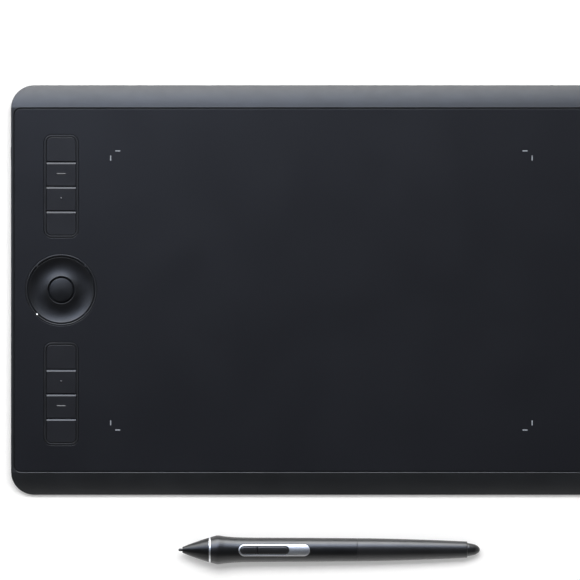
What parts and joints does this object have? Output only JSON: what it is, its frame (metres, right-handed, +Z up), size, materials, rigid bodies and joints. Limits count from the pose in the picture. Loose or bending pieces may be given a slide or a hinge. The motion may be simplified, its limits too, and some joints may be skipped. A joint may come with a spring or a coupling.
{
  "type": "graphics tablet",
  "caption": "Slim pen tablet: matt drawing panel, two rows of side keys, round touch ring with centre button, corner lights, and its pressure pen lying in front.",
  "frame": {"origin": "desk surface under the middle of the tablet and its pen taken together", "axes": "+X to the right along the long side, +Y to the tablet's rear edge, +Z up from the desk"},
  "size_m": [0.3386, 0.256, 0.0155],
  "materials": {
    "frame_plastic": "satin moulded dark grey",
    "cover_aluminium": "fine blasted, anodised near black",
    "foot_rubber": "matt soft rubber",
    "screw_steel": "blackened steel",
    "drawing_film": "matt fine-grained drawing film",
    "panel_plastic": "moulded plate",
    "sensor_film": "clear film with fine conductors",
    "circuit_board": "green solder mask",
    "shield_steel": "tinned sheet",
    "light_guide": "clear guide, lit white",
    "light_guide_dark": "smoked guide, unlit",
    "led_white": "white packages",
    "key_plastic": "matt moulded, near black",
    "tray_plastic": "satin moulded, near black",
    "ring_plastic": "satin moulded, near black",
    "component_black": "moulded packages",
    "socket_steel": "plain stainless shell",
    "tongue_plastic": "black insulator",
    "button_plastic": "satin moulded",
    "battery_foil": "grey laminated pouch",
    "cable_film": "amber polyimide film",
    "nib_plastic": "worn hard plastic",
    "pen_plastic": "satin dark grey",
    "pen_rubber": "soft-touch dark grey",
    "pen_chrome": "polished",
    "bezel_silver": "satin silver",
    "rocker_plastic": "glossy black",
    "chassis_plastic": "glass-filled plastic",
    "coil_copper": "wound copper on a ferrite core",
    "pin_steel": "ground pin"
  },
  "bodies": {
    "tablet": {"top_frame": "frame_plastic", "bottom_cover": "cover_aluminium", "rubber_feet": "foot_rubber", "cover_screws": "screw_steel", "surface_sheet": "drawing_film", "surface_panel": "panel_plastic", "touch_sensor_film": "sensor_film", "digitizer_board": "circuit_board", "key_board": "circuit_board", "main_board": "circuit_board", "touch_switch_board": "circuit_board", "touch_ring_sensor": "circuit_board", "shield_plate": "shield_steel", "corner_light_guides": "light_guide", "ring_light_lit": "light_guide", "ring_lights_unlit": "light_guide_dark", "power_light_window": "light_guide_dark", "corner_leds": "led_white", "ring_leds": "led_white", "key_tray_rear": "tray_plastic", "key_tray_front": "tray_plastic", "ring_trim": "tray_plastic", "touch_ring_dish": "ring_plastic", "key_switches": "component_black", "main_board_chips": "component_black", "touch_switch_base": "component_black", "wireless_antenna": "component_black", "usb_c_socket": "socket_steel", "usb_c_tongue": "tongue_plastic", "battery_pack": "battery_foil", "sensor_cable": "cable_film", "key_cable": "cable_film", "touch_switch_cable": "cable_film", "battery_lead": "cable_film"},
    "key_1": {"express_key_1": "key_plastic"},
    "key_2": {"express_key_2": "key_plastic"},
    "key_3": {"express_key_3": "key_plastic"},
    "key_4": {"express_key_4": "key_plastic"},
    "key_5": {"express_key_5": "key_plastic"},
    "key_6": {"express_key_6": "key_plastic"},
    "key_7": {"express_key_7": "key_plastic"},
    "key_8": {"express_key_8": "key_plastic"},
    "ring_button": {"ring_button": "key_plastic"},
    "power_button": {"power_button": "button_plastic"},
    "touch_switch": {"touch_switch_slider": "button_plastic"},
    "pen": {"pen_front_cone": "pen_plastic", "pen_ring": "pen_chrome", "pen_grip": "pen_rubber", "pen_barrel": "pen_plastic", "pen_chassis": "chassis_plastic", "pen_coil": "coil_copper", "pen_pressure_sensor": "component_black", "pen_board": "circuit_board", "pen_switches": "component_black", "pen_switch_bezel": "bezel_silver", "pen_rocker_pin": "pin_steel", "pen_eraser_sensor": "component_black"},
    "pen_nib": {"pen_nib": "nib_plastic"},
    "pen_eraser": {"pen_eraser": "pen_plastic"},
    "pen_rocker": {"pen_switch_rocker": "rocker_plastic"}
  },
  "joints": [
    {"name": "key_1_press", "type": "slide", "parent": "tablet", "child": "key_1", "axis": [0, 0, -1], "range_m": [0, 0.0006], "stiffness_N_per_m": 300, "springref_m": -0.0006},
    {"name": "key_2_press", "type": "slide", "parent": "tablet", "child": "key_2", "axis": [0, 0, -1], "range_m": [0, 0.0006], "stiffness_N_per_m": 300, "springref_m": -0.0006},
    {"name": "key_3_press", "type": "slide", "parent": "tablet", "child": "key_3", "axis": [0, 0, -1], "range_m": [0, 0.0006], "stiffness_N_per_m": 300, "springref_m": -0.0006},
    {"name": "key_4_press", "type": "slide", "parent": "tablet", "child": "key_4", "axis": [0, 0, -1], "range_m": [0, 0.0006], "stiffness_N_per_m": 300, "springref_m": -0.0006},
    {"name": "key_5_press", "type": "slide", "parent": "tablet", "child": "key_5", "axis": [0, 0, -1], "range_m": [0, 0.0006], "stiffness_N_per_m": 300, "springref_m": -0.0006},
    {"name": "key_6_press", "type": "slide", "parent": "tablet", "child": "key_6", "axis": [0, 0, -1], "range_m": [0, 0.0006], "stiffness_N_per_m": 300, "springref_m": -0.0006},
    {"name": "key_7_press", "type": "slide", "parent": "tablet", "child": "key_7", "axis": [0, 0, -1], "range_m": [0, 0.0006], "stiffness_N_per_m": 300, "springref_m": -0.0006},
    {"name": "key_8_press", "type": "slide", "parent": "tablet", "child": "key_8", "axis": [0, 0, -1], "range_m": [0, 0.0006], "stiffness_N_per_m": 300, "springref_m": -0.0006},
    {"name": "ring_button_press", "type": "slide", "parent": "tablet", "child": "ring_button", "axis": [0, 0, -1], "range_m": [0, 0.0006], "stiffness_N_per_m": 300, "springref_m": -0.0006},
    {"name": "power_button_press", "type": "slide", "parent": "tablet", "child": "power_button", "axis": [1, 0, 0], "range_m": [0, 0.0004], "stiffness_N_per_m": 400, "springref_m": -0.0004},
    {"name": "touch_switch_slide", "type": "slide", "parent": "tablet", "child": "touch_switch", "axis": [0, 1, 0], "range_m": [0, 0.0024]},
    {"name": "pen_lift", "type": "slide", "parent": "tablet", "child": "pen", "axis": [0, 0, 1], "range_m": [0, 0.15]},
    {"name": "pen_nib_press", "type": "slide", "parent": "pen", "child": "pen_nib", "axis": [0.9998, 0, -0.0204], "range_m": [0, 0.0003], "stiffness_N_per_m": 400, "springref_m": -0.0003},
    {"name": "pen_eraser_press", "type": "slide", "parent": "pen", "child": "pen_eraser", "axis": [-0.9998, 0, 0.0204], "range_m": [0, 0.0005], "stiffness_N_per_m": 400, "springref_m": -0.0003},
    {"name": "pen_rocker_tilt", "type": "hinge", "parent": "pen", "child": "pen_rocker", "pos_m": [-0.03361, -0.12022, 0.00963], "axis": [0, 1, 0], "range_deg": [-2.5, 2.5], "stiffness_Nm_per_rad": 0.05}
  ]
}
